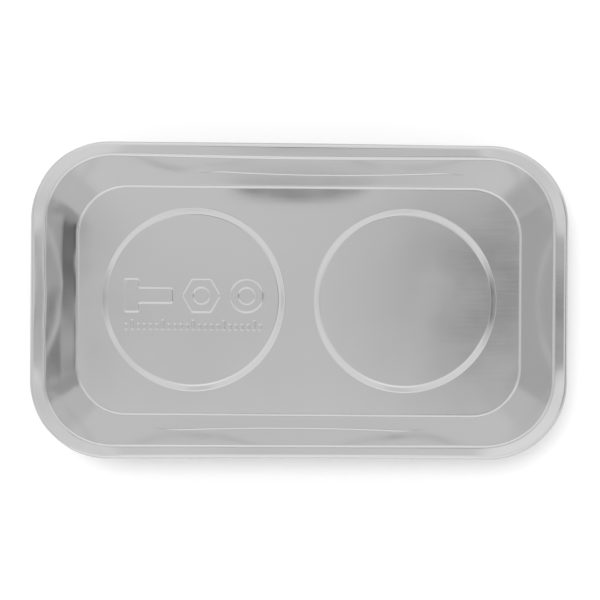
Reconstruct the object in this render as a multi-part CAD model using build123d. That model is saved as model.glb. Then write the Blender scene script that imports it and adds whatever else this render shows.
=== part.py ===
from build123d import *
import os
from math import atan2, cos, radians, sin, tan

# A pressed stainless-steel parts tray on two magnetic feet.
# Millimetres. +X runs along the tray, +Y across it and +Z up.
# The origin is at the middle of the plane that the feet stand on.

# Tray, measured on its upper (inner) surface
RIM_LENGTH = 240.0
RIM_WIDTH = 140.0
RIM_HEIGHT = 38.0
RIM_CORNER_RADIUS = 35.0
SHEET = 0.6
FLANGE_WIDTH = 6.3
MOUTH_CORNER_RADIUS = 29.5
LIP_DROP = 2.4
LIP_BEND = 1.1
MOUTH_BEND = 2.4
FLOOR_HEIGHT = 12.6
FLOOR_LENGTH = 204.0
FLOOR_WIDTH = 104.0
FLOOR_CORNER_RADIUS = 23.0
FLOOR_BEND = 3.0

# Raised round pads in the floor, one over each magnet
PAD_SPACING = 97.2
PAD_RISE = 1.1
PAD_TOP_RADIUS = 39.0
PAD_FOOT_RADIUS = 42.2
PAD_TOP_BEND = 4.5
PAD_FOOT_BEND = 1.8

# Raised signs on the left pad: a bolt, a nut, a washer and a plain scale
SIGN_RISE = 0.3
SIGN_HEIGHT = 15.0
SIGN_ROW_Y = 2.2
SIGN_LEFT = -31.5
SIGN_RIGHT = 32.0
SIGN_CORNER = 0.9
BOLT_HEAD = 6.5
BOLT_SHANK_LENGTH = 15.5
BOLT_SHANK_WIDTH = 6.8
SIGN_HOLE_RADIUS = 3.8
SCALE_MARKS = 23
SCALE_PITCH = 2.8
SCALE_MARK_WIDTH = 1.1
SCALE_MARK_HEIGHT = 2.6
SCALE_LONG_MARK_HEIGHT = 4.4
SCALE_LONG_EVERY = 5
SCALE_BASE_Y = -13.4

# Magnetic feet
MAGNET_RADIUS = 36.0
MAGNET_BORE_RADIUS = 16.0
MAGNET_THICKNESS = 9.5
MAGNET_CHAMFER = 1.2
STUD_RADIUS = 2.5
STUD_FLANGE_RADIUS = 5.0
STUD_FLANGE_THICKNESS = 0.9
STUD_END = 2.8
STUD_CHAMFER = 0.5
PLATE_THICKNESS = 1.2
PLATE_RADIUS = 23.0
PLATE_DISH_RADIUS = 15.2
PLATE_DISH_TAPER = 2.0
PLATE_CENTRE_TOP = 11.8
WASHER_RADIUS = 5.0
WASHER_THICKNESS = 1.0
SPRING_WASHER_RADIUS = 4.4
SPRING_WASHER_THICKNESS = 1.2
SPRING_WASHER_GAP = 0.6
SPRING_WASHER_SKEW = 20.0
NUT_FLATS = 8.0
NUT_THICKNESS = 4.7
NUT_CORNER_CHAMFER = 30.0
THREAD_CLEARANCE = 0.05
BOOT_RADIUS = 40.0
BOOT_WALL_GAP = 0.1
BOOT_SHOULDER_HEIGHT = 11.5
BOOT_BEAD_HEIGHT = 12.8
BOOT_BEAD_SLANT = 1.7
BOOT_EDGE_CHAMFER = 1.4
BOOT_BASE = 3.5
BOOT_POCKET_RADIUS = 24.0
BOOT_POCKET_FLOOR = 2.0
BOOT_GROOVE_RADII = (17.0, 23.0, 29.0, 35.0)
BOOT_GROOVE_WIDTH = 2.0
BOOT_GROOVE_DEPTH = 0.7

SIDES = {"left": -1, "right": 1}
WALL_RUN = (RIM_LENGTH - FLOOR_LENGTH) / 2 - FLANGE_WIDTH
WALL_RISE = RIM_HEIGHT - FLOOR_HEIGHT
WALL_ANGLE = atan2(WALL_RISE, WALL_RUN)
PAD_ANGLE = atan2(PAD_RISE, PAD_FOOT_RADIUS - PAD_TOP_RADIUS)
PAD_UNDERSIDE = FLOOR_HEIGHT + PAD_RISE - SHEET
MAGNET_BOTTOM = PAD_UNDERSIDE - MAGNET_THICKNESS
EDGE_MATCH = 0.05


def turned(points):
    """A solid of revolution about Z from (radius, height) points."""
    profile = make_face(Plane.XZ * Polyline(points, close=True))
    return revolve(profile, axis=Axis.Z)


def ring(outer_radius, inner_radius, low, high):
    """A flat ring between two heights."""
    return turned([
        (inner_radius, low),
        (outer_radius, low),
        (outer_radius, high),
        (inner_radius, high),
    ])


def edges_at(solid, height):
    """The edges that lie wholly at one height."""
    return [
        edge
        for edge in solid.edges()
        if abs(edge.bounding_box().min.Z - height) < EDGE_MATCH
        and abs(edge.bounding_box().max.Z - height) < EDGE_MATCH
    ]


def basin_outline(height, offset):
    """The rounded rectangle of the slanted wall at a height, moved outwards by offset."""
    share = (height - FLOOR_HEIGHT) / WALL_RISE
    length = FLOOR_LENGTH + 2 * (WALL_RUN * share + offset)
    width = FLOOR_WIDTH + 2 * (WALL_RUN * share + offset)
    growth = MOUTH_CORNER_RADIUS - FLOOR_CORNER_RADIUS
    radius = FLOOR_CORNER_RADIUS + growth * share + offset
    return Pos(0, 0, height) * RectangleRounded(length, width, radius)


def basin(low, high, offset, bend):
    """A solid basin with slanted walls and a rounded bottom edge."""
    solid = loft([basin_outline(low, offset), basin_outline(high, offset)], ruled=True)
    return fillet(edges_at(solid, low), bend)


def rim_block(inset, drop, bend):
    """The block inside the rim's outline, rounded along its upper edge."""
    outline = RectangleRounded(
        RIM_LENGTH - 2 * inset, RIM_WIDTH - 2 * inset, RIM_CORNER_RADIUS - inset
    )
    top = RIM_HEIGHT - inset
    block = extrude(Pos(0, 0, RIM_HEIGHT - drop) * outline, top - (RIM_HEIGHT - drop))
    return fillet(edges_at(block, top), bend)


def raised_pad(centre_x, depth):
    """The solid under one surface of a round pad, depth below its upper surface."""
    shift = depth * tan(PAD_ANGLE / 2)
    low = FLOOR_HEIGHT - depth
    pad = turned([
        (0, low - SHEET),
        (PAD_FOOT_RADIUS - shift, low - SHEET),
        (PAD_FOOT_RADIUS - shift, low),
        (PAD_TOP_RADIUS - shift, low + PAD_RISE),
        (0, low + PAD_RISE),
    ])
    return Pos(centre_x, 0, 0) * pad


def pad_edges(shell, height, radius):
    """The round edges of both pads at one height and radius."""
    return [
        edge
        for edge in edges_at(shell, height)
        if edge.geom_type == GeomType.CIRCLE and abs(edge.radius - radius) < EDGE_MATCH
    ]


def bolt_sign():
    """A bolt lying on its side, its head to the left."""
    head = Pos(SIGN_LEFT + BOLT_HEAD / 2, SIGN_ROW_Y) * RectangleRounded(
        BOLT_HEAD, SIGN_HEIGHT, SIGN_CORNER
    )
    shank_start = SIGN_LEFT + BOLT_HEAD - 2 * SIGN_CORNER
    shank_length = BOLT_SHANK_LENGTH + 2 * SIGN_CORNER
    shank = Pos(shank_start + shank_length / 2, SIGN_ROW_Y) * RectangleRounded(
        shank_length, BOLT_SHANK_WIDTH, SIGN_CORNER
    )
    return head + shank


def nut_sign():
    """A hexagon nut seen from above, midway between the bolt and the washer."""
    bolt_end = SIGN_LEFT + BOLT_HEAD + BOLT_SHANK_LENGTH
    washer_start = SIGN_RIGHT - SIGN_HEIGHT
    place = Pos((bolt_end + washer_start) / 2, SIGN_ROW_Y)
    hexagon = RegularPolygon(SIGN_HEIGHT / 2, 6, major_radius=False)
    return place * (fillet(hexagon.vertices(), SIGN_CORNER) - Circle(SIGN_HOLE_RADIUS))


def washer_sign():
    """A washer seen from above."""
    place = Pos(SIGN_RIGHT - SIGN_HEIGHT / 2, SIGN_ROW_Y)
    return place * (Circle(SIGN_HEIGHT / 2) - Circle(SIGN_HOLE_RADIUS))


def scale_sign():
    """A row of upright marks, every fifth one longer."""
    marks = Sketch()
    for index in range(SCALE_MARKS):
        long_mark = (index - 1) % SCALE_LONG_EVERY == 0
        height = SCALE_LONG_MARK_HEIGHT if long_mark else SCALE_MARK_HEIGHT
        x = (index - (SCALE_MARKS - 1) / 2) * SCALE_PITCH
        marks += Pos(x, SCALE_BASE_Y + height / 2) * Rectangle(SCALE_MARK_WIDTH, height)
    return marks


def left_pad_signs():
    """All raised signs, standing on the left pad."""
    base = Pos(-PAD_SPACING / 2, 0, FLOOR_HEIGHT + PAD_RISE - SHEET / 2)
    signs = bolt_sign() + nut_sign() + washer_sign() + scale_sign()
    return extrude(base * signs, SHEET / 2 + SIGN_RISE)


def mouth_edges(shell, height, offset):
    """The edges round the basin's mouth at one height, and not those of the rim's outline."""
    half_length = RIM_LENGTH / 2 - FLANGE_WIDTH + offset + EDGE_MATCH
    half_width = RIM_WIDTH / 2 - FLANGE_WIDTH + offset + EDGE_MATCH
    return [
        edge
        for edge in edges_at(shell, height)
        if max(abs(edge.bounding_box().min.X), abs(edge.bounding_box().max.X)) < half_length
        and max(abs(edge.bounding_box().min.Y), abs(edge.bounding_box().max.Y)) < half_width
    ]


def tray_shell():
    """The whole pressing: floor, walls, flange, lip, pads and signs."""
    wall_offset = SHEET / sin(WALL_ANGLE)
    underside = FLOOR_HEIGHT - SHEET
    shell = rim_block(0, LIP_DROP, LIP_BEND) - rim_block(SHEET, LIP_DROP, LIP_BEND - SHEET)
    shell += basin(underside, RIM_HEIGHT - SHEET / 2, wall_offset, FLOOR_BEND + SHEET)
    shell -= basin(FLOOR_HEIGHT, RIM_HEIGHT + SHEET, 0, FLOOR_BEND)
    shell = fillet(mouth_edges(shell, RIM_HEIGHT, 0), MOUTH_BEND)
    shell = fillet(mouth_edges(shell, RIM_HEIGHT - SHEET, wall_offset), MOUTH_BEND - SHEET)
    for side in SIDES.values():
        shell += raised_pad(side * PAD_SPACING / 2, 0)
    for side in SIDES.values():
        shell -= raised_pad(side * PAD_SPACING / 2, SHEET)
    shift = SHEET * tan(PAD_ANGLE / 2)
    shell = fillet(pad_edges(shell, FLOOR_HEIGHT + PAD_RISE, PAD_TOP_RADIUS), PAD_TOP_BEND)
    shell = fillet(pad_edges(shell, FLOOR_HEIGHT, PAD_FOOT_RADIUS), PAD_FOOT_BEND)
    shell = fillet(pad_edges(shell, PAD_UNDERSIDE, PAD_TOP_RADIUS - shift), PAD_TOP_BEND - SHEET)
    shell = fillet(pad_edges(shell, underside, PAD_FOOT_RADIUS - shift), PAD_FOOT_BEND + SHEET)
    return shell + left_pad_signs()


def weld_stud():
    """The stud under a pad, with the flange that is welded to the pad."""
    flange_bottom = PAD_UNDERSIDE - STUD_FLANGE_THICKNESS
    return turned([
        (0, PAD_UNDERSIDE),
        (STUD_FLANGE_RADIUS, PAD_UNDERSIDE),
        (STUD_FLANGE_RADIUS, flange_bottom),
        (STUD_RADIUS, flange_bottom),
        (STUD_RADIUS, STUD_END + STUD_CHAMFER),
        (STUD_RADIUS - STUD_CHAMFER, STUD_END),
        (0, STUD_END),
    ])


def ring_magnet():
    """The ferrite ring that lies against the underside of a pad."""
    magnet = ring(MAGNET_RADIUS, MAGNET_BORE_RADIUS, MAGNET_BOTTOM, PAD_UNDERSIDE)
    return chamfer(magnet.edges().filter_by(GeomType.CIRCLE), MAGNET_CHAMFER)


def retaining_plate():
    """The dished plate: its rim carries the magnet and its middle is clamped by the nut."""
    top = MAGNET_BOTTOM
    centre_bottom = PLATE_CENTRE_TOP - PLATE_THICKNESS
    hole = STUD_RADIUS + THREAD_CLEARANCE
    flat_radius = PLATE_DISH_RADIUS - PLATE_DISH_TAPER
    wall = PLATE_THICKNESS
    return turned([
        (hole, PLATE_CENTRE_TOP),
        (flat_radius, PLATE_CENTRE_TOP),
        (PLATE_DISH_RADIUS, top),
        (PLATE_RADIUS, top),
        (PLATE_RADIUS, top - wall),
        (PLATE_DISH_RADIUS - wall, top - wall),
        (flat_radius - wall, centre_bottom),
        (hole, centre_bottom),
    ])


def flat_washer():
    """The washer between the plate and the spring washer."""
    high = PLATE_CENTRE_TOP - PLATE_THICKNESS
    return ring(WASHER_RADIUS, STUD_RADIUS + THREAD_CLEARANCE, high - WASHER_THICKNESS, high)


def spring_washer():
    """The split washer under the flat washer, pressed flat."""
    high = PLATE_CENTRE_TOP - PLATE_THICKNESS - WASHER_THICKNESS
    low = high - SPRING_WASHER_THICKNESS
    washer = ring(SPRING_WASHER_RADIUS, STUD_RADIUS + THREAD_CLEARANCE, low, high)
    cutter = Box(SPRING_WASHER_RADIUS, SPRING_WASHER_GAP, 3 * SPRING_WASHER_THICKNESS)
    place = Pos(SPRING_WASHER_RADIUS / 2 + 1, 0, (low + high) / 2) * Rot(SPRING_WASHER_SKEW, 0, 0)
    return washer - place * cutter


def hex_nut():
    """The nut, its corners chamfered at both faces."""
    high = PLATE_CENTRE_TOP - PLATE_THICKNESS - WASHER_THICKNESS - SPRING_WASHER_THICKNESS
    low = high - NUT_THICKNESS
    prism = extrude(Pos(0, 0, low) * RegularPolygon(NUT_FLATS / 2, 6, major_radius=False), NUT_THICKNESS)
    corner = NUT_FLATS / 2 / cos(radians(30))
    cut = (corner - NUT_FLATS / 2) * tan(radians(NUT_CORNER_CHAMFER))
    envelope = turned([
        (0, low),
        (NUT_FLATS / 2, low),
        (corner, low + cut),
        (corner, high - cut),
        (NUT_FLATS / 2, high),
        (0, high),
    ])
    bore = Pos(0, 0, (low + high) / 2) * Cylinder(STUD_RADIUS + THREAD_CLEARANCE, 2 * NUT_THICKNESS)
    return (prism & envelope) - bore


def rubber_boot():
    """The soft cup that snaps over a magnet and carries the tray, with grooves in its sole."""
    inner = MAGNET_RADIUS + BOOT_WALL_GAP
    bead_low = PAD_UNDERSIDE - MAGNET_CHAMFER
    bead_inset = BOOT_BEAD_HEIGHT - bead_low
    boot = turned([
        (0, 0),
        (BOOT_RADIUS - BOOT_EDGE_CHAMFER, 0),
        (BOOT_RADIUS, BOOT_EDGE_CHAMFER),
        (BOOT_RADIUS, BOOT_SHOULDER_HEIGHT),
        (BOOT_RADIUS - BOOT_BEAD_SLANT, BOOT_BEAD_HEIGHT),
        (inner - bead_inset, BOOT_BEAD_HEIGHT),
        (inner, bead_low),
        (inner, BOOT_BASE),
        (BOOT_POCKET_RADIUS, BOOT_BASE),
        (BOOT_POCKET_RADIUS, BOOT_POCKET_FLOOR),
        (0, BOOT_POCKET_FLOOR),
    ])
    for radius in BOOT_GROOVE_RADII:
        half = BOOT_GROOVE_WIDTH / 2
        boot -= turned([
            (radius - half, -BOOT_GROOVE_DEPTH),
            (radius + half, -BOOT_GROOVE_DEPTH),
            (radius + half, 0),
            (radius, BOOT_GROOVE_DEPTH),
            (radius - half, 0),
        ])
    return boot


def write(name, shape):
    """Write one sub-part's STEP file."""
    export_step(shape, f"parts/{name}.step")


def main():
    os.makedirs("parts", exist_ok=True)
    write("tray_shell", tray_shell())
    foot_pieces = {
        "weld_stud": weld_stud(),
        "ring_magnet": ring_magnet(),
        "retaining_plate": retaining_plate(),
        "flat_washer": flat_washer(),
        "spring_washer": spring_washer(),
        "hex_nut": hex_nut(),
        "rubber_boot": rubber_boot(),
    }
    for side_name, side in SIDES.items():
        for piece_name, piece in foot_pieces.items():
            write(f"{side_name}_{piece_name}", Pos(side * PAD_SPACING / 2, 0, 0) * piece)


if __name__ == "__main__":
    main()
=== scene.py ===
"""A pressed stainless-steel parts tray on two magnetic feet, dressed for a studio picture.

Metres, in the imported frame: +X along the tray, +Y across it, +Z up.
"""

import math

import bpy
import bmesh
import numpy as np
from mathutils import Matrix, Vector, kdtree, noise
from mathutils.geometry import delaunay_2d_cdt


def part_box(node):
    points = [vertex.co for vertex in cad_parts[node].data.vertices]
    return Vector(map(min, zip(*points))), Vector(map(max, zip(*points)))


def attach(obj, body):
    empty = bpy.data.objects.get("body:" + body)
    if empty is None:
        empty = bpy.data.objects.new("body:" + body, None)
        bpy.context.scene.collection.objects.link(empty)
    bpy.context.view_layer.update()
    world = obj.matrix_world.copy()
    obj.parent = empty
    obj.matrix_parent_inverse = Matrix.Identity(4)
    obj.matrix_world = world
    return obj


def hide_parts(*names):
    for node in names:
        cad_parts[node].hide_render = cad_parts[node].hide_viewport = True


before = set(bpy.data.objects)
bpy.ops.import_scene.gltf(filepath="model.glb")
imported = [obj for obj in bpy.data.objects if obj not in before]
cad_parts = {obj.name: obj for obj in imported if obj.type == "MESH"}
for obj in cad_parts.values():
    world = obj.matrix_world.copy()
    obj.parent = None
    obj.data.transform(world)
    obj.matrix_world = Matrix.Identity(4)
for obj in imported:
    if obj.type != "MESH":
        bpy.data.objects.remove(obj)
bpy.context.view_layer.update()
MM = 0.001

# ---------------------------------------------------------------- sizes from the frame
SHELL_LOW, SHELL_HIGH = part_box("tray_shell")
LEFT_BOOT_LOW, LEFT_BOOT_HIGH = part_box("left_rubber_boot")
RIGHT_BOOT_LOW, RIGHT_BOOT_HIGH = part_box("right_rubber_boot")
SHEET = 0.6 * MM
RIM_TOP = SHELL_HIGH.z
FLOOR_TOP = SHELL_LOW.z + SHEET
RIM_HALF = Vector((SHELL_HIGH.x, SHELL_HIGH.y))
MOUTH_HALF = RIM_HALF - Vector((6.9, 5.8)) * MM
FLOOR_HALF = RIM_HALF - Vector((18.0, 17.4)) * MM
RIM_CORNER = RIM_HALF.y / 2
MOUTH_CORNER = 29.5 * MM
FLOOR_CORNER = 23 * MM
FLANGE = 6.4 * MM
WALL_RUN = 11.3 * MM
LIP_DROP = 2.4 * MM
FLOOR_BEND = 1.4 * MM
MOUTH_BEND = 1.5 * MM
LIP_BEND = 1.6 * MM
LIP_FLARE = 0.45 * MM
EDGE_ROUND = 0.12 * MM
# The lip's steep faces are painted darker, as painted shade, where they are tilted further than this from
# level
PAINTED_SHADE_NORMAL = math.cos(math.radians(42))
# Straight stretch kept beside each bend, so that the flats next to it shade as flat
HOLD = 0.35 * MM

BOOT_RADIUS = (LEFT_BOOT_HIGH.x - LEFT_BOOT_LOW.x) / 2
PAD_CENTRES = {
    "left": (LEFT_BOOT_LOW.x + LEFT_BOOT_HIGH.x) / 2,
    "right": (RIGHT_BOOT_LOW.x + RIGHT_BOOT_HIGH.x) / 2,
}
PAD_CENTRE_Y = 0.5 * MM
PAD_RISE = 0.84 * MM
# The hollow under a pad is deeper than the pad is high, to clear the magnet and the stud
PAD_UNDER_RISE = 1.12 * MM
PAD_TOP_RADIUS = BOOT_RADIUS - 0.5 * MM
PAD_FOOT_RADIUS = BOOT_RADIUS + 2.0 * MM
PAD_TOP_BEND = 3.8 * MM
PAD_FOOT_BEND = 1.8 * MM
# The side of each pad that faces its end wall has tighter bends. A span is the angle from that
# side at which they begin to tighten, and the angle within which they are fully tight.
CRISP_BEND = 0.35 * MM
CRISP_FOOT = {"left": BOOT_RADIUS + 1.85 * MM, "right": BOOT_RADIUS + 2.0 * MM}
CRISP_SPAN = {"left": (math.radians(75), math.radians(45)), "right": (math.radians(30), math.radians(18))}
PAD_STEPS = 160
PAD_INNER_MARGIN = 2 * MM
PAD_OUTER_MARGIN = 1.5 * MM
FLOOR_MARGIN = 4 * MM

# How the real pressing strays from even: its trimmed rim, its flange, its walls and its floor
RIM_GROWTH = 0.43 * MM
SPLAY = 0.33 * MM
SPLAY_LENGTH = 80 * MM
BOW_LENGTH = 95 * MM
MOUTH_BOW = {1: -0.8 * MM, -1: 0.1 * MM}
RIM_BOW = {1: 0.2 * MM, -1: -0.45 * MM}
FLANGE_TILT = math.radians(7)
TILT_START = 6 * MM
TILT_REACH = 14 * MM
# The draw line in each long wall, and the rows of faces that show it
CREASE_OUT = 4.8 * MM
CREASE_SPREAD = 1.5 * MM
CREASE_CENTRE = {1: 14 * MM, -1: -4 * MM}
CREASE_HALF_LENGTH = 66 * MM
CREASE_FULL = 0.72
CREASE_FADE = 0.28
CREASE_WIDTH = 0.55 * MM
CREASE_END_WIDTH = 0.3
CREASE_HEIGHT = 0.23 * MM
WALL_STRAIGHT = (1.2 * MM, 9.8 * MM)
CREASE_BAND = 0.6 * MM
FINE_ROW = 0.06 * MM
COARSE_ROW = 1.6 * MM
LAST_ROW = 1.3
# Waves in the sheet, streaks and a bulge in the -X wall, and a sag of the floor at the +Y wall
WAVE_SEED = 3
WAVE_LENGTH = 34 * MM
WAVE_HEIGHT = 0.06 * MM
WAVE_FADE = 8 * MM
RIM_FADE = 5 * MM
END_WAVE = 4.0
END_WAVE_START = 6 * MM
STREAK_LENGTH = 13 * MM
STREAK_STRETCH = 2
STREAK_HEIGHT = 0.45 * MM
BULGE = 0.5 * MM
BULGE_HOLLOW = 0.5
BULGE_START = -20 * MM
BULGE_TURN = 35 * MM
BULGE_HALF_LENGTH = 30 * MM
BULGE_FADE = 18 * MM
BULGE_EDGE = 1 * MM
SAG = 0.5 * MM
SAG_HALF_LENGTH = 37 * MM
SAG_REACH = 11 * MM

CORNER_STEPS = 36
LONG_STEPS = 56
SHORT_STEPS = 24
BEND_STEPS = 7
FLOOR_GRID = 3 * MM
PAD_GRID = 4 * MM
SIGN_GRID = 2 * MM


# ---------------------------------------------------------------- mesh tools
class Build:
    """Vertices and faces of one piece while it is being made."""

    def __init__(self):
        self.points = []
        self.faces = []
        self.edge_and_shade_faces = []

    def loop(self, points):
        first = len(self.points)
        self.points.extend(Vector(p) for p in points)
        return list(range(first, len(self.points)))

    def bridge(self, a, b):
        """Quads between two closed loops of the same length."""
        count = len(a)
        for i in range(count):
            j = (i + 1) % count
            self.faces.append((a[i], a[j], b[j], b[i]))

    def cap(self, loop, centre):
        """A fan of triangles that closes a loop."""
        middle = self.loop([centre])[0]
        count = len(loop)
        for i in range(count):
            self.faces.append((loop[i], loop[(i + 1) % count], middle))

    def fill(self, outer, holes, height, spacing):
        """Triangles on the flat between an outer loop and holes, with an even lattice inside."""
        loops = [outer, *holes]
        ids = [i for loop in loops for i in loop]
        flat = [self.points[i].to_2d() for i in ids]
        edges = []
        for loop in loops:
            start = len(edges)
            count = len(loop)
            edges += [(start + k, start + (k + 1) % count) for k in range(count)]
        lattice = self.lattice(flat, edges, spacing)
        ids += self.loop([(x, y, height) for x, y in lattice])
        found = delaunay_2d_cdt(flat + lattice, edges, [], 0, 1e-9)
        triangles = found[2]
        origin = [ids[o[0]] for o in found[3]]
        middles = np.array([sum((found[0][v] for v in t), Vector((0, 0))) / 3 for t in triangles])
        inside = enclosed(middles, flat, edges)
        for triangle, keep in zip(triangles, inside):
            if keep:
                self.faces.append(tuple(origin[v] for v in triangle))

    def lattice(self, flat, edges, spacing):
        """Evenly spaced points inside the loops, clear of their edges."""
        low = np.min([tuple(p) for p in flat], axis=0)
        high = np.max([tuple(p) for p in flat], axis=0)
        row_gap = spacing * math.sin(math.radians(60))
        grid = []
        for row, y in enumerate(np.arange(low[1] + row_gap / 2, high[1], row_gap)):
            shift = spacing / 2 * (row % 2)
            grid += [(x, y) for x in np.arange(low[0] + spacing / 4 + shift, high[0], spacing)]
        if not grid:
            return []
        keep = enclosed(np.array(grid), flat, edges)
        tree = kdtree.KDTree(len(flat))
        for i, p in enumerate(flat):
            tree.insert((*p, 0), i)
        tree.balance()
        clear = spacing * 0.6
        return [Vector(p) for p, k in zip(grid, keep) if k and tree.find((*p, 0))[2] > clear]

    def make(self, name, material, shape=None):
        """A Blender object from the faces, closed, smooth and facing outwards."""
        mesh = bpy.data.meshes.new(name)
        points = [shape(p) for p in self.points] if shape else self.points
        mesh.from_pydata(points, [], self.faces)
        work = bmesh.new()
        work.from_mesh(mesh)
        loose = [v for v in work.verts if not v.link_faces]
        bmesh.ops.delete(work, geom=loose, context="VERTS")
        bmesh.ops.recalc_face_normals(work, faces=work.faces)
        for face in work.faces:
            face.smooth = True
        work.to_mesh(mesh)
        work.free()
        piece = bpy.data.objects.new(name, mesh)
        bpy.context.scene.collection.objects.link(piece)
        mesh.materials.append(material)
        return piece

    def mark_edge_and_shade(self, count):
        """Notes the last faces made as part of the trimmed edge and the steep lip, which take the darker
        steel of painted shade.
        """
        self.edge_and_shade_faces += range(len(self.faces) - count, len(self.faces))


def enclosed(points, flat, edges):
    """For each point, whether it lies inside the loops, by counting edges to its right."""
    start = np.array([tuple(flat[a]) for a, _ in edges])
    end = np.array([tuple(flat[b]) for _, b in edges])
    inside = np.zeros(len(points), bool)
    for (x1, y1), (x2, y2) in zip(start, end):
        if y1 == y2:
            continue
        spans = (points[:, 1] > y1) != (points[:, 1] > y2)
        cross = (x2 - x1) * (points[:, 1] - y1) / (y2 - y1) + x1
        inside ^= spans & (points[:, 0] < cross)
    return inside


def turned(normal, angle):
    """A flat vector turned anticlockwise."""
    return Vector((
        normal.x * math.cos(angle) - normal.y * math.sin(angle),
        normal.x * math.sin(angle) + normal.y * math.cos(angle),
    ))


def rounded_path(corners, radii, steps, hold=HOLD):
    """A line through corners, each turned by an arc, as (point, unit normal) pairs.

    The normal points to the left of the line. A straight stretch of length hold is kept beside each arc.
    """
    path = []
    for i, corner in enumerate(corners):
        corner = Vector(corner)
        if i in (0, len(corners) - 1):
            other = Vector(corners[1] if i == 0 else corners[-2])
            along = (other - corner if i == 0 else corner - other).normalized()
            path.append((corner, Vector((-along.y, along.x))))
            continue
        before = (corner - Vector(corners[i - 1])).normalized()
        after = (Vector(corners[i + 1]) - corner).normalized()
        turn = before.angle_signed(after) * -1
        reach = radii[i - 1] * math.tan(abs(turn) / 2)
        side = 1 if turn > 0 else -1
        normal = Vector((-before.y, before.x))
        start = corner - before * reach
        centre = start + normal * radii[i - 1] * side
        path.append((start - before * hold, normal))
        for k in range(steps + 1):
            angle = turn * k / steps
            n = turned(normal, angle)
            path.append((centre - n * radii[i - 1] * side, n))
        last_normal = Vector((-after.y, after.x))
        path.append((corner + after * (reach + hold), last_normal))
    return path


def smooth(share):
    """Eases a share from 0 to 1."""
    share = min(max(share, 0.0), 1.0)
    return share * share * (3 - 2 * share)


def ring_points(half, radius):
    """A rounded rectangle as (point, outward direction) pairs, anticlockwise from its +X side."""
    core = half - Vector((radius, radius))
    quarter = math.pi / 2
    ring = []
    for index, (sx, sy) in enumerate(((1, 1), (-1, 1), (-1, -1), (1, -1))):
        centre = Vector((sx * core.x, sy * core.y))
        arc = []
        for k in range(CORNER_STEPS + 1):
            angle = quarter * (index + k / CORNER_STEPS)
            out = Vector((math.cos(angle), math.sin(angle)))
            arc.append((centre + out * radius, out))
        first, out = arc[0]
        steps = SHORT_STEPS if index % 2 == 0 else LONG_STEPS
        for k in range(1, steps):
            share = 1 - 2 * k / steps
            along = (first.x, -share * core.y * sy) if index % 2 == 0 else (-share * core.x * sx, first.y)
            ring.append((Vector(along), out))
        ring += arc
    return ring


def pad_points(side, soft, crisp):
    """One ring of a pad, from places on its two sections. The crisp one faces the end wall."""
    centre_x = PAD_CENTRES[side]
    start, full = (math.cos(angle) for angle in CRISP_SPAN[side])
    points = []
    for k in range(PAD_STEPS):
        angle = 2 * math.pi * k / PAD_STEPS
        facing = math.copysign(math.cos(angle), math.cos(angle) * centre_x)
        place = soft.lerp(crisp, smooth((facing - start) / (full - start)))
        x = centre_x + place.x * math.cos(angle)
        y = PAD_CENTRE_Y + place.x * math.sin(angle)
        points.append((x, y, place.y))
    return points


# ---------------------------------------------------------------- the pressed tray
def outline_at(out):
    """Half size and corner radius of the pressing at a distance outside the floor's outline."""
    if out <= 0:
        return FLOOR_HALF + Vector((out, out)), FLOOR_CORNER + out
    if out <= WALL_RUN:
        share = out / WALL_RUN
        radius = FLOOR_CORNER + (MOUTH_CORNER - FLOOR_CORNER) * share
        return FLOOR_HALF.lerp(MOUTH_HALF, share), radius
    share = (out - WALL_RUN) / FLANGE
    trimmed = RIM_HALF + Vector((0, RIM_GROWTH))
    return MOUTH_HALF.lerp(trimmed, share), MOUTH_CORNER + (RIM_CORNER - MOUTH_CORNER) * share


def bowed(point, out):
    """How far the long sides of the mouth and of the trimmed rim stray outwards from straight."""
    side = 1 if point.y > 0 else -1
    mouth_share = min(max(out / WALL_RUN, 0), 1)
    rim_share = min(max((out - WALL_RUN) / FLANGE, 0), 1)
    middle = math.cos(math.pi / 2 * min(abs(point.x) / BOW_LENGTH, 1)) ** 2
    bow = MOUTH_BOW[side] * (mouth_share - rim_share) + RIM_BOW[side] * rim_share
    splay = -SPLAY * point.x / SPLAY_LENGTH * mouth_share
    return bow * middle + splay


def flange_drop(point, out):
    """How far the flange falls away towards its outer edge, in the corners only."""
    core = RIM_HALF - Vector((RIM_CORNER, RIM_CORNER))
    share_x = smooth((abs(point.x) - core.x + TILT_START) / TILT_REACH)
    share_y = smooth((abs(point.y) - core.y + TILT_START) / TILT_REACH)
    return share_x * share_y * math.tan(FLANGE_TILT) * max(out - WALL_RUN, 0)


def draw_line(point, place):
    """Moves a place on a long wall's section along and across the wall, for the line drawn in it.

    The wall stands slightly proud below the line and slightly back above it. Gives the new place
    and how far it moves along its normal.
    """
    if abs(point.y) < FLOOR_HALF.y - FLOOR_CORNER:
        return place, 0
    along = abs(point.x - CREASE_CENTRE[1 if point.y > 0 else -1]) / CREASE_HALF_LENGTH
    fade = 1 - smooth((along - CREASE_FULL) / CREASE_FADE)
    low, high = WALL_STRAIGHT
    out = place.x
    rise = min(max((out - low) / (CREASE_OUT - low), 0), 1)
    fall = min(max((high - out) / (high - CREASE_OUT), 0), 1)
    slide = CREASE_SPREAD * min(along, 1) ** 2 * fade * min(rise, fall)
    width = CREASE_WIDTH * (CREASE_END_WIDTH + (1 - CREASE_END_WIDTH) * fade)
    step = 1 - 2 * smooth((out - CREASE_OUT) / width + 0.5)
    across = CREASE_HEIGHT * step * min(rise, fall)
    slope = (RIM_TOP - FLOOR_TOP) / WALL_RUN
    return place + Vector((slide, slide * slope)), across * fade


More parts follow.
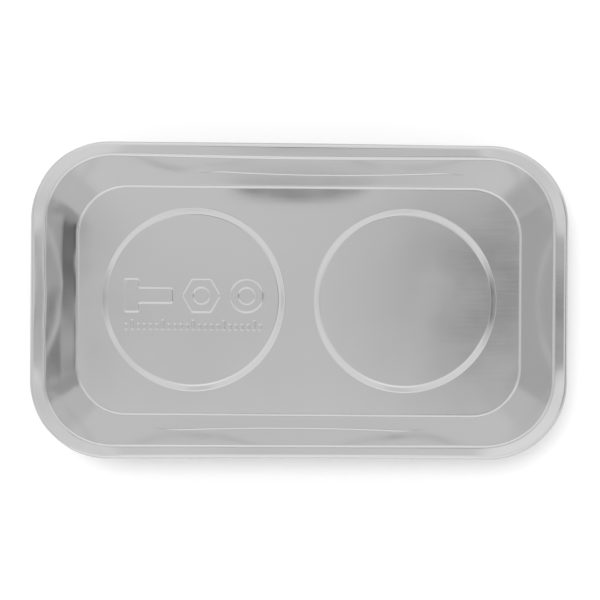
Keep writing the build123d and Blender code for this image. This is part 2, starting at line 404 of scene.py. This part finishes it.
def basin_ring(build, place, normal):
    """One ring of the pressing, at a (distance outside the floor's outline, height) place."""
    half, radius = outline_at(place.x)
    lip_end = RIM_TOP - LIP_DROP
    held = min(max((place.y - lip_end) / LIP_DROP, 0), 1)
    points = []
    for point, away in ring_points(half, radius):
        moved, shift = draw_line(point, place)
        z = moved.y + normal.y * shift - flange_drop(point, place.x) * held
        flat = point + away * (moved.x - place.x + normal.x * shift)
        flat.y *= 1 + bowed(point, place.x) / half.y
        points.append((flat.x, flat.y, z))
    return build.loop(points)


def waved(point):
    """Moves a point of the pressing by its waves and its sag. The waves are strongest in the -X wall,
    and there are none over the magnets.
    """
    hold = 1.0
    for centre_x in PAD_CENTRES.values():
        away = math.hypot(point.x - centre_x, point.y)
        hold *= smooth((away - PAD_TOP_RADIUS + WAVE_FADE / 2) / WAVE_FADE)
    end = 1 + END_WAVE * smooth((-point.x - FLOOR_HALF.x + END_WAVE_START) / WAVE_FADE)
    inner = smooth((RIM_HALF.x - abs(point.x)) / RIM_FADE)
    inner *= smooth((RIM_HALF.y - abs(point.y)) / RIM_FADE)
    wave = noise.noise_vector(point / WAVE_LENGTH) * WAVE_HEIGHT * hold * end * inner
    streak = noise.noise(Vector((point.y, point.z / STREAK_STRETCH, 0)) / STREAK_LENGTH)
    beyond_floor = smooth((-point.x - FLOOR_HALF.x) / BULGE_EDGE)
    wave.x += (streak * STREAK_HEIGHT + end_bulge(point)) * beyond_floor * inner
    wave.z -= SAG * sag_share(point)
    return point + wave


def end_bulge(point):
    """How far the -X wall bulges into the tray at mid height, and how far it is hollow beside that."""
    height = min(max((point.z - FLOOR_TOP) / (RIM_TOP - FLOOR_TOP), 0), 1)
    turn = (1 + BULGE_HOLLOW) * smooth((point.y - BULGE_START) / BULGE_TURN) - BULGE_HOLLOW
    bulge = BULGE * (1 - abs(2 * height - 1)) * turn
    return bulge * (1 - smooth((abs(point.y) - BULGE_HALF_LENGTH) / BULGE_FADE))


def sag_share(point):
    """How much the floor sags where it meets the +Y wall, between the pads, from 0 to 1."""
    middle = 1 - min(abs(point.x) / SAG_HALF_LENGTH, 1) ** 2
    ramp = min(max((point.y - FLOOR_HALF.y + SAG_REACH) / SAG_REACH, 0), 1)
    height = min(max((RIM_TOP - point.z) / (RIM_TOP - FLOOR_TOP), 0), 1)
    return middle * ramp * ramp * height


def pressing_path():
    """The section of the upper surface, from the floor over the wall and flange to the lip's end."""
    return rounded_path(
        [
            (-FLOOR_MARGIN, FLOOR_TOP),
            (0, FLOOR_TOP),
            (WALL_RUN, RIM_TOP),
            (WALL_RUN + FLANGE - LIP_FLARE, RIM_TOP),
            (WALL_RUN + FLANGE, RIM_TOP - LIP_DROP),
        ],
        [FLOOR_BEND, MOUTH_BEND, LIP_BEND],
        BEND_STEPS,
    )


def pad_path(rise, foot_radius, top_bend, foot_bend):
    """The section of a pad, from its flat top to the floor round it."""
    return rounded_path(
        [
            (PAD_TOP_RADIUS - PAD_INNER_MARGIN, FLOOR_TOP + rise),
            (PAD_TOP_RADIUS, FLOOR_TOP + rise),
            (foot_radius, FLOOR_TOP),
            (PAD_FOOT_RADIUS + PAD_OUTER_MARGIN, FLOOR_TOP),
        ],
        [top_bend, foot_bend],
        BEND_STEPS,
    )


def wall_rows(path):
    """The path with extra points on its straight stretches, closest together at the draw line."""
    rows = [path[0]]
    for (p, n), (q, m) in zip(path, path[1:]):
        length = (q - p).length
        done = 0.0
        while done < length:
            place = p.lerp(q, done / length)
            rising = FLOOR_TOP < place.y < RIM_TOP and q.y > p.y and q.x > p.x
            near = rising and abs(place.x - CREASE_OUT) < CREASE_BAND
            step = FINE_ROW * length / (q.x - p.x) if near else COARSE_ROW
            if rising and not near and place.x < CREASE_OUT:
                left = (CREASE_OUT - CREASE_BAND - place.x) * length / (q.x - p.x)
                step = min(step, left + FINE_ROW)
            done = length if length - done < step * LAST_ROW else done + step
            rows.append((p.lerp(q, done / length), n.lerp(m, done / length)))
    return rows


def tray_mesh():
    """The whole pressing: both sides of the sheet, its trimmed edge, the pads and the signs."""
    build = Build()
    path = wall_rows(pressing_path())
    upper = [basin_ring(build, p, n) for p, n in path]
    lower = [basin_ring(build, p - n * SHEET, n) for p, n in path]
    for rings in (upper, lower):
        for (place, normal), a, b in zip(path, rings, rings[1:]):
            build.bridge(a, b)
            # The steep faces of the lip take the darker steel: painted shade for the dark outline at the
            # rim
            if place.x > WALL_RUN + FLANGE / 2 and normal.y < PAINTED_SHADE_NORMAL:
                build.mark_edge_and_shade(len(a))
    end, normal = path[-1]
    middle = basin_ring(build, end - normal * SHEET / 2 - Vector((0, EDGE_ROUND)), normal)
    build.bridge(upper[-1], middle)
    build.bridge(middle, lower[-1])
    # The cut edge of the sheet takes the same darker steel as the painted shade on the lip
    build.mark_edge_and_shade(2 * len(middle))
    for depth, rise, rings in ((0, PAD_RISE, upper), (SHEET, PAD_UNDER_RISE, lower)):
        soft = pad_path(rise, PAD_FOOT_RADIUS, PAD_TOP_BEND, PAD_FOOT_BEND)
        holes = []
        for side, centre_x in PAD_CENTRES.items():
            crisp = pad_path(rise, CRISP_FOOT[side], CRISP_BEND, CRISP_BEND)
            loops = [
                build.loop(pad_points(side, p - n * depth, q - m * depth))
                for (p, n), (q, m) in zip(soft, crisp)
            ]
            for a, b in zip(loops, loops[1:]):
                build.bridge(a, b)
            holes.append(loops[-1])
            top = FLOOR_TOP + rise - depth
            if side == "left" and depth == 0:
                add_signs(build, loops[0], centre_x, top)
            else:
                build.fill(loops[0], [], top, PAD_GRID)
        build.fill(rings[0], holes, FLOOR_TOP - depth, FLOOR_GRID)
    return build


# ---------------------------------------------------------------- raised signs on the left pad
SIGN_RISE = 0.27 * MM
SIGN_SLOPE = 0.8 * MM
SIGN_HEIGHT = 15 * MM
SIGN_ROW_Y = 2.2 * MM
SIGN_LEFT = -31.5 * MM
SIGN_RIGHT = 32 * MM
BOLT_HEAD = 6.5 * MM
BOLT_SHANK = 15.5 * MM
BOLT_SHANK_HALF = 3.4 * MM
SIGN_CORNER = 0.9 * MM
SIGN_HOLE = 3.8 * MM
SIGN_PROFILE = (-0.3, 0, 0.15, 0.38, 0.62, 0.85, 1, 1.2)
SCALE_MARKS = 23
SCALE_PITCH = 2.8 * MM
SCALE_MARK_HALF = 0.62 * MM
SCALE_CORNER = SCALE_MARK_HALF * 0.75
SCALE_SLOPE = 0.5 * MM
SCALE_MARK_HEIGHT = 2.6 * MM
SCALE_LONG_HEIGHT = 4.4 * MM
SCALE_LONG_EVERY = 5
SCALE_BASE_Y = -13.4 * MM


def closed_outline(corners, radius, steps=4):
    """A polygon with rounded corners, anticlockwise, as (point, outward normal) pairs."""
    outline = []
    count = len(corners)
    for i in range(count):
        corner = Vector(corners[i])
        before = (corner - Vector(corners[i - 1])).normalized()
        after = (Vector(corners[(i + 1) % count]) - corner).normalized()
        turn = before.angle_signed(after) * -1
        reach = radius * math.tan(abs(turn) / 2)
        side = 1 if turn > 0 else -1
        normal = Vector((before.y, -before.x))
        centre = corner - before * reach - normal * radius * side
        for k in range(steps + 1):
            angle = turn * k / steps
            n = turned(normal, angle)
            outline.append((centre + n * radius * side, n))
    return outline


def round_outline(centre, radius, steps=56):
    """A circle, anticlockwise, as (point, outward normal) pairs."""
    turn = 2 * math.pi / steps
    outline = []
    for k in range(steps):
        n = Vector((math.cos(turn * k), math.sin(turn * k)))
        outline.append((Vector(centre) + n * radius, n))
    return outline


def slope_loops(build, outline, origin_x, base_z, slope):
    """Loops from the pad up to a sign's top, along its outline. A hole has a negative slope."""
    loops = []
    for share in SIGN_PROFILE:
        rise = smooth(share) * SIGN_RISE
        shift = (0.5 - share) * slope
        loops.append(build.loop([
            (origin_x + p.x + n.x * shift, p.y + n.y * shift, base_z + rise) for p, n in outline
        ]))
    for a, b in zip(loops, loops[1:]):
        build.bridge(a, b)
    return loops[0], loops[-1]


def raise_sign(build, outline, hole, slope, origin_x, base_z):
    """One raised sign with an optional round hole. Returns its foot loop."""
    foot, top = slope_loops(build, outline, origin_x, base_z, slope)
    holes = []
    if hole:
        hole_foot, hole_top = slope_loops(build, hole, origin_x, base_z, -slope)
        build.fill(hole_foot, [], base_z, SIGN_GRID)
        holes = [hole_top]
    build.fill(top, holes, base_z + SIGN_RISE, SIGN_GRID)
    return foot


def sign_outlines():
    """The bolt, nut, washer and scale marks, each as (outline, hole, width of its slope)."""
    half = SIGN_HEIGHT / 2
    head_end = SIGN_LEFT + BOLT_HEAD
    shank_end = head_end + BOLT_SHANK
    y = SIGN_ROW_Y
    bolt = closed_outline([
        (SIGN_LEFT, y - half),
        (head_end, y - half),
        (head_end, y - BOLT_SHANK_HALF),
        (shank_end, y - BOLT_SHANK_HALF),
        (shank_end, y + BOLT_SHANK_HALF),
        (head_end, y + BOLT_SHANK_HALF),
        (head_end, y + half),
        (SIGN_LEFT, y + half),
    ], SIGN_CORNER)
    nut_x = (shank_end + SIGN_RIGHT - SIGN_HEIGHT) / 2
    corner = half / math.cos(math.radians(30))
    hexagon = [
        (nut_x + corner * math.cos(math.radians(60 * k)), y + corner * math.sin(math.radians(60 * k)))
        for k in range(6)
    ]
    nut = closed_outline(hexagon, SIGN_CORNER)
    washer_x = SIGN_RIGHT - half
    signs = [
        (bolt, None, SIGN_SLOPE),
        (nut, round_outline((nut_x, y), SIGN_HOLE), SIGN_SLOPE),
        (round_outline((washer_x, y), half, steps=72), round_outline((washer_x, y), SIGN_HOLE), SIGN_SLOPE),
    ]
    for index in range(SCALE_MARKS):
        x = (index - (SCALE_MARKS - 1) / 2) * SCALE_PITCH
        long_mark = (index - 1) % SCALE_LONG_EVERY == 0
        top = SCALE_BASE_Y + (SCALE_LONG_HEIGHT if long_mark else SCALE_MARK_HEIGHT)
        mark = closed_outline([
            (x - SCALE_MARK_HALF, SCALE_BASE_Y),
            (x + SCALE_MARK_HALF, SCALE_BASE_Y),
            (x + SCALE_MARK_HALF, top),
            (x - SCALE_MARK_HALF, top),
        ], SCALE_CORNER, steps=3)
        signs.append((mark, None, SCALE_SLOPE))
    return signs


def add_signs(build, rim, centre_x, top_z):
    """The signs and the flat of the pad round them, out to the pad's rim loop."""
    feet = [
        raise_sign(build, outline, hole, slope, centre_x, top_z)
        for outline, hole, slope in sign_outlines()
    ]
    build.fill(rim, feet, top_z, FLOOR_GRID)


# ---------------------------------------------------------------- materials
# Most of a noise texture's values lie in this range
NOISE_RANGE = (0.3, 0.7)
TINT = 0.03
GRAIN_STRETCH = (60, 1400, 1400)
GRAIN_GLOSS = 0.008
GRAIN_DEPTH = 0.00004


def new_material(name):
    material = bpy.data.materials.new(name)
    material.use_nodes = True
    tree = material.node_tree
    return material, tree, tree.nodes["Principled BSDF"]


def add_node(tree, kind, **values):
    node = tree.nodes.new(kind)
    for key, value in values.items():
        if hasattr(node, key):
            setattr(node, key, value)
        else:
            node.inputs[key.replace("_", " ")].default_value = value
    return node


def stretched_noise(tree, stretch, scale, detail):
    """Noise in the object's own space, drawn out by stretch."""
    place = add_node(tree, "ShaderNodeTexCoord")
    mapping = add_node(tree, "ShaderNodeMapping")
    mapping.inputs["Scale"].default_value = stretch
    pattern = add_node(tree, "ShaderNodeTexNoise", Scale=scale, Detail=detail)
    tree.links.new(place.outputs["Object"], mapping.inputs["Vector"])
    tree.links.new(mapping.outputs["Vector"], pattern.inputs["Vector"])
    return pattern


def spread(tree, source, low, high, out_low, out_high):
    """Maps a value from one range to another."""
    node = add_node(tree, "ShaderNodeMapRange")
    for key, value in (("From Min", low), ("From Max", high), ("To Min", out_low), ("To Max", out_high)):
        node.inputs[key].default_value = value
    tree.links.new(source, node.inputs["Value"])
    return node.outputs["Result"]


def stainless(name, grey, rough_low, rough_high):
    """Steel with cloudy tint and gloss, and a fine grain along the tray."""
    material, tree, shader = new_material(name)
    shader.inputs["Metallic"].default_value = 1.0
    links = tree.links
    clouds = stretched_noise(tree, (1, 1, 1), scale=28, detail=3)
    grain = stretched_noise(tree, GRAIN_STRETCH, scale=1, detail=4)
    tint = add_node(tree, "ShaderNodeMix", data_type="RGBA")
    for socket, level in (("A", grey * (1 - TINT)), ("B", grey * (1 + TINT))):
        tint.inputs[socket].default_value = (level, level, level, 1)
    links.new(clouds.outputs["Fac"], tint.inputs["Factor"])
    links.new(tint.outputs["Result"], shader.inputs["Base Color"])
    rough = add_node(tree, "ShaderNodeMath", operation="ADD")
    cloudy = spread(tree, clouds.outputs["Fac"], *NOISE_RANGE, rough_low, rough_high)
    grainy = spread(tree, grain.outputs["Fac"], *NOISE_RANGE, -GRAIN_GLOSS, GRAIN_GLOSS)
    links.new(cloudy, rough.inputs[0])
    links.new(grainy, rough.inputs[1])
    links.new(rough.outputs["Value"], shader.inputs["Roughness"])
    bump = add_node(tree, "ShaderNodeBump", Strength=0.05, Distance=GRAIN_DEPTH)
    links.new(grain.outputs["Fac"], bump.inputs["Height"])
    links.new(bump.outputs["Normal"], shader.inputs["Normal"])
    return material


def dull_material(name, dark, light, rough_low, rough_high, scale, depth, metallic=0.0):
    """Rubber, ferrite or plated steel: mottled colour and roughness over a fine bump."""
    material, tree, shader = new_material(name)
    shader.inputs["Metallic"].default_value = metallic
    links = tree.links
    mottle = stretched_noise(tree, (1, 1, 1), scale, detail=5)
    fine = stretched_noise(tree, (1, 1, 1), scale * 12, detail=3)
    tint = add_node(tree, "ShaderNodeMix", data_type="RGBA")
    tint.inputs["A"].default_value = (*dark, 1)
    tint.inputs["B"].default_value = (*light, 1)
    links.new(mottle.outputs["Fac"], tint.inputs["Factor"])
    links.new(tint.outputs["Result"], shader.inputs["Base Color"])
    links.new(
        spread(tree, mottle.outputs["Fac"], *NOISE_RANGE, rough_low, rough_high),
        shader.inputs["Roughness"],
    )
    bump = add_node(tree, "ShaderNodeBump", Strength=0.5, Distance=depth)
    links.new(fine.outputs["Fac"], bump.inputs["Height"])
    links.new(bump.outputs["Normal"], shader.inputs["Normal"])
    return material


STEEL = stainless("satin_stainless", grey=0.71, rough_low=0.12, rough_high=0.18)
# Darker steel for the cut edge of the sheet, and painted shade on the steep faces of the lip
CUT_AND_SHADED_STEEL = stainless("trimmed_and_painted_shade_stainless", grey=0.5, rough_low=0.28, rough_high=0.38)
RUBBER = dull_material(
    "black_rubber", dark=(0.012, 0.012, 0.012), light=(0.03, 0.03, 0.03),
    rough_low=0.5, rough_high=0.7, scale=90, depth=0.00005,
)
FERRITE = dull_material(
    "ferrite", dark=(0.03, 0.03, 0.033), light=(0.07, 0.07, 0.075),
    rough_low=0.45, rough_high=0.65, scale=160, depth=0.00003,
)
ZINC = dull_material(
    "zinc_plate", dark=(0.5, 0.51, 0.53), light=(0.66, 0.67, 0.69),
    rough_low=0.25, rough_high=0.4, scale=120, depth=0.00001, metallic=1.0,
)
SPRING = dull_material(
    "spring_steel", dark=(0.2, 0.2, 0.21), light=(0.32, 0.32, 0.33),
    rough_low=0.3, rough_high=0.45, scale=120, depth=0.00001, metallic=1.0,
)

noise.seed_set(WAVE_SEED)
pressing = tray_mesh()
tray = pressing.make("tray", STEEL, waved)
# The darker steel goes on the cut edge and, as painted shade, on the steep lip
tray.data.materials.append(CUT_AND_SHADED_STEEL)
for index in pressing.edge_and_shade_faces:
    tray.data.polygons[index].material_index = 1
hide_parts("tray_shell")
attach(tray, "root")

# ---------------------------------------------------------------- rubber boots
BOOT_TOP = LEFT_BOOT_HIGH.z
BOOT_STEPS = 144
BOOT_BEND_STEPS = 4
BOOT_HOLD = 0.02 * MM
SOLE_ROUND = 1.3 * MM
SHOULDER = BOOT_TOP - 1.3 * MM
SHOULDER_ROUND = 0.8 * MM
BEAD_SLANT = 1.7 * MM
BEAD_ROUND = 0.5 * MM
BEAD_GRIP = 1.2 * MM
BAND = 0.35 * MM
BAND_ROUND = 0.15 * MM
MAGNET_LOW, MAGNET_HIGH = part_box("left_ring_magnet")
MAGNET_GAP = 0.1 * MM
POCKET_WALL = (MAGNET_HIGH.x - MAGNET_LOW.x) / 2 + MAGNET_GAP
BOOT_BASE = MAGNET_LOW.z - MAGNET_GAP
POCKET_RADIUS = 24 * MM
POCKET_FLOOR = 2 * MM
POCKET_ROUND = 0.1 * MM
GROOVES = (17 * MM, 23 * MM, 29 * MM, 35 * MM)
GROOVE_HALF = 1.0 * MM
GROOVE_DEPTH = 0.7 * MM
GROOVE_ROUND = 0.3 * MM


def boot_path():
    """Half the boot's section: out along the grooved sole, up the side, over the bead and inside."""
    corners = [(0, 0)]
    radii = []
    for groove in GROOVES:
        corners += [(groove - GROOVE_HALF, 0), (groove, GROOVE_DEPTH), (groove + GROOVE_HALF, 0)]
        radii += [GROOVE_ROUND] * 3
    middle = (SHOULDER + SOLE_ROUND) / 2
    bead_low = MAGNET_HIGH.z - BEAD_GRIP
    corners += [
        (BOOT_RADIUS, 0),
        (BOOT_RADIUS, middle - 2 * BAND),
        (BOOT_RADIUS - BAND, middle - BAND),
        (BOOT_RADIUS - BAND, middle + BAND),
        (BOOT_RADIUS, middle + 2 * BAND),
        (BOOT_RADIUS, SHOULDER),
        (BOOT_RADIUS - BEAD_SLANT, BOOT_TOP),
        (POCKET_WALL - (BOOT_TOP - bead_low), BOOT_TOP),
        (POCKET_WALL, bead_low),
        (POCKET_WALL, BOOT_BASE),
        (POCKET_RADIUS, BOOT_BASE),
        (POCKET_RADIUS, POCKET_FLOOR),
        (0, POCKET_FLOOR),
    ]
    radii += [SOLE_ROUND] + [BAND_ROUND] * 4 + [SHOULDER_ROUND, BEAD_ROUND, BAND_ROUND]
    radii += [POCKET_ROUND] * 4
    return rounded_path(corners, radii, BOOT_BEND_STEPS, BOOT_HOLD)


def boot_mesh(centre_x):
    """The boot's section turned about the middle of its foot."""
    build = Build()
    path = [p for p, _ in boot_path()]
    turn = 2 * math.pi / BOOT_STEPS
    rings = [
        build.loop([
            (centre_x + p.x * math.cos(turn * k), p.x * math.sin(turn * k), p.y)
            for k in range(BOOT_STEPS)
        ])
        for p in path[1:-1]
    ]
    for a, b in zip(rings, rings[1:]):
        build.bridge(a, b)
    build.cap(rings[0], (centre_x, 0, path[0].y))
    build.cap(rings[-1], (centre_x, 0, path[-1].y))
    return build


for side, centre_x in PAD_CENTRES.items():
    boot = boot_mesh(centre_x).make(f"{side}_boot", RUBBER)
    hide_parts(f"{side}_rubber_boot")
    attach(boot, "root")

NODE_FINISH = {
    "weld_stud": ZINC,
    "ring_magnet": FERRITE,
    "retaining_plate": ZINC,
    "flat_washer": ZINC,
    "spring_washer": SPRING,
    "hex_nut": ZINC,
}
for side in PAD_CENTRES:
    for piece_name, material in NODE_FINISH.items():
        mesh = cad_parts[f"{side}_{piece_name}"].data
        mesh.materials.clear()
        mesh.materials.append(material)

# ---------------------------------------------------------------- studio
REACH = 6.0
FLOOR_GREY = 0.9
FLOOR_ROUGHNESS = 0.9
floor_mesh = bpy.data.meshes.new("studio_floor")
floor_mesh.from_pydata(
    [(-REACH, -REACH, 0), (REACH, -REACH, 0), (REACH, REACH, 0), (-REACH, REACH, 0)], [], [(0, 1, 2, 3)]
)
floor = bpy.data.objects.new("studio_floor", floor_mesh)
bpy.context.scene.collection.objects.link(floor)
floor_material, _, floor_shader = new_material("studio_white")
floor_shader.inputs["Base Color"].default_value = (FLOOR_GREY, FLOOR_GREY, FLOOR_GREY, 1)
floor_shader.inputs["Roughness"].default_value = FLOOR_ROUGHNESS
floor_mesh.materials.append(floor_material)

# The surroundings that the steel mirrors, in degrees:
# (azimuth, angle from straight up, half width, width of the soft edge as a share of it, change)
SURROUND_BASE = 0.87
PANELS = [
    (0, 0, 8.5, 0.5, -0.13),
    (0, 7.1, 3.1, 0.6, -0.56),
    (0, 13, 4, 0.5, -0.25),
    (0, 5, 5, 0.6, -0.06),
    (205, 3.2, 3, 0.5, -0.08),
    (180, 9.7, 3.6, 0.5, -0.42),
    (180, 25, 12, 0.3, -0.12),
    (90, 11, 4, 0.35, -0.7),
    (90, 20, 4, 0.4, 0.24),
    (270, 20, 7, 0.4, 0.32),
    (0, 60, 20, 0.07, -0.31),
    (0, 46, 8, 0.3, -0.38),
    (16, 47, 8, 0.4, -0.2),
    (344, 47, 8, 0.4, -0.2),
    (0, 64, 6, 0.5, 0.25),
    (0, 97, 14, 0.3, 0.15),
    (180, 62, 20, 0.1, -0.2),
    (180, 97, 14, 0.3, 0.15),
    (218, 58, 14, 0.5, -0.14),
    (45, 23, 8, 0.5, -0.1),
    (315, 23, 8, 0.5, 0.07),
    (225, 23, 8, 0.5, -0.06),
    (90, 84, 37, 0.1, 0.12),
    (270, 84, 37, 0.1, 0.16),
    (270, 40, 5, 0.3, -0.14),
]


def studio_world():
    """A pale sky whose brightness changes at each panel."""
    world = bpy.data.worlds.new("studio")
    bpy.context.scene.world = world
    world.use_nodes = True
    tree = world.node_tree
    background = tree.nodes["Background"]
    place = add_node(tree, "ShaderNodeTexCoord")
    total = None
    for azimuth, lean, half_width, softness, change in PANELS:
        a, t = math.radians(azimuth), math.radians(lean)
        towards = (math.sin(t) * math.cos(a), math.sin(t) * math.sin(a), math.cos(t))
        dot = add_node(tree, "ShaderNodeVectorMath", operation="DOT_PRODUCT")
        dot.inputs[1].default_value = towards
        tree.links.new(place.outputs["Generated"], dot.inputs[0])
        angle = add_node(tree, "ShaderNodeMath", operation="ARCCOSINE")
        tree.links.new(dot.outputs["Value"], angle.inputs[0])
        fade = add_node(tree, "ShaderNodeMapRange", interpolation_type="SMOOTHERSTEP")
        fade.inputs["From Min"].default_value = math.radians(half_width) * (1 - softness)
        fade.inputs["From Max"].default_value = math.radians(half_width) * (1 + softness)
        fade.inputs["To Min"].default_value = change
        fade.inputs["To Max"].default_value = 0
        tree.links.new(angle.outputs["Value"], fade.inputs["Value"])
        add = add_node(tree, "ShaderNodeMath", operation="ADD")
        add.inputs[0].default_value = SURROUND_BASE
        if total:
            tree.links.new(total, add.inputs[0])
        tree.links.new(fade.outputs["Result"], add.inputs[1])
        total = add.outputs["Value"]
    tree.links.new(total, background.inputs["Strength"])
    background.inputs["Color"].default_value = (1, 1, 1, 1)


studio_world()
SUN_STRENGTH = 1.4
SUN_WIDTH = math.radians(22)
SUN_DIRECTION = Vector((0.16, -0.16, -1))
sun_data = bpy.data.lights.new("key", "SUN")
sun_data.energy = SUN_STRENGTH
sun_data.angle = SUN_WIDTH
sun = bpy.data.objects.new("key", sun_data)
sun.rotation_mode = "QUATERNION"
sun.rotation_quaternion = SUN_DIRECTION.to_track_quat("-Z", "Y")
sun.visible_glossy = False
bpy.context.scene.collection.objects.link(sun)

CAMERA_PLACE = Vector((-0.003, 0.0006, RIM_TOP + 0.808))
CAMERA_AIM = Vector((0.0003, 0.0006, RIM_TOP))
CAMERA_ROLL = math.radians(0.43)
CAMERA_SENSOR = 36
CAMERA_LENS = 108.86
CAMERA_CLIP = (0.01, 50)
camera_data = bpy.data.cameras.new("camera")
camera_data.sensor_width = CAMERA_SENSOR
camera_data.lens = CAMERA_LENS
camera = bpy.data.objects.new("camera", camera_data)
camera.location = CAMERA_PLACE
back = (CAMERA_PLACE - CAMERA_AIM).normalized()
right = Vector((-math.sin(CAMERA_ROLL), math.cos(CAMERA_ROLL), 0)).cross(back).normalized()
camera.rotation_mode = "QUATERNION"
camera.rotation_quaternion = Matrix((right, back.cross(right), back)).transposed().to_quaternion()
camera_data.clip_start, camera_data.clip_end = CAMERA_CLIP
bpy.context.scene.collection.objects.link(camera)
bpy.context.scene.camera = camera
bpy.context.scene.view_settings.view_transform = "Standard"
